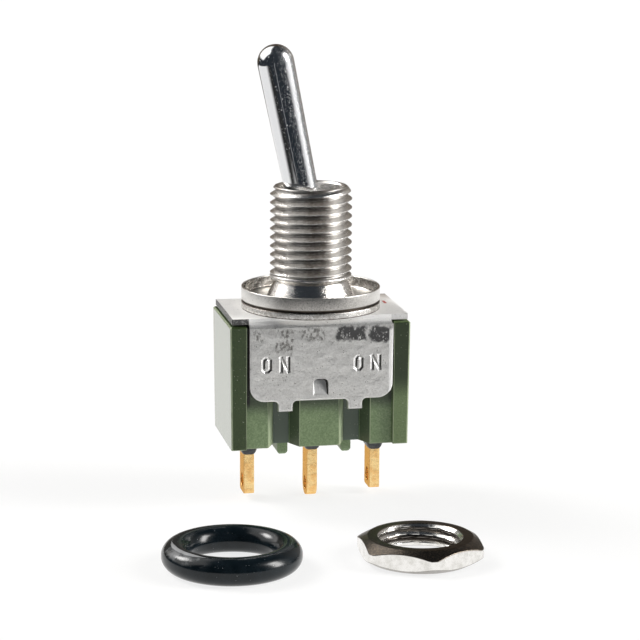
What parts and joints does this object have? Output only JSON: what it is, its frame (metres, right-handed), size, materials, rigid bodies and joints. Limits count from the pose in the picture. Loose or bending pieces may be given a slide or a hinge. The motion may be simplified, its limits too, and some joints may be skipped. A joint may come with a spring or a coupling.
{
  "type": "panel toggle switch",
  "caption": "Miniature panel toggle switch: threaded bushing with a chrome lever, steel frame on a moulded case with solder lugs; its sealing ring and hex nut lie beside it.",
  "frame": {"origin": "on the bushing's axis, at the top face of the steel frame's plate", "axes": "+Z out along the bushing, +X the way the lever travels from its rest, -Y the side of the marked flap"},
  "size_m": [0.0216, 0.0267, 0.0333],
  "materials": {
    "steel_sheet": "matt stainless sheet, ink-stained",
    "green_moulding": "moulded thermoset, dull",
    "nickel_plate": "satin nickel plate",
    "chrome_plate": "mirror chrome",
    "rubber": "black, faintly shiny",
    "brass": "turned",
    "nylon": "moulded",
    "spring_wire": "drawn wire",
    "contact_alloy": "rolled copper alloy",
    "silver": "silver",
    "gold_plate": "thin gold plate",
    "epoxy": "cast, dull"
  },
  "bodies": {
    "housing": {"steel_frame": "steel_sheet", "case": "green_moulding", "bushing": "nickel_plate", "seal_cup": "nickel_plate", "ball_seal": "rubber", "seal_retainer": "brass", "fixed_contact_left": "silver", "fixed_contact_right": "silver", "terminal_left": "gold_plate", "terminal_centre": "gold_plate", "terminal_right": "gold_plate", "epoxy_left": "epoxy", "epoxy_centre": "epoxy", "epoxy_right": "epoxy", "sealing_ring": "rubber", "hex_nut": "nickel_plate"},
    "toggle": {"lever": "chrome_plate", "lever_spring": "spring_wire"},
    "follower": {"plunger": "nylon"},
    "moving_contact": {"rocker": "contact_alloy", "rocker_contact_left": "silver", "rocker_contact_right": "silver"}
  },
  "joints": [
    {"name": "lever_tilt", "type": "hinge", "parent": "housing", "child": "toggle", "pos_m": [0, 0, 0.0051], "axis": [0, 1, 0], "range_deg": [0, 23.2], "stiffness_Nm_per_rad": 0.05},
    {"name": "rocker_tip", "type": "hinge", "parent": "housing", "child": "moving_contact", "pos_m": [0, 0, -0.00672], "axis": [0, 1, 0], "range_deg": [-13, 0]},
    {"name": "plunger_slide", "type": "slide", "parent": "toggle", "child": "follower", "axis": [-0.2011, 0, 0.9796], "range_m": [0, 0.0004], "stiffness_N_per_m": 400, "deforming": ["lever_spring"]}
  ],
  "couplings": [
    {"joint": "rocker_tip", "follows": "lever_tilt", "ratio": -0.56034}
  ]
}
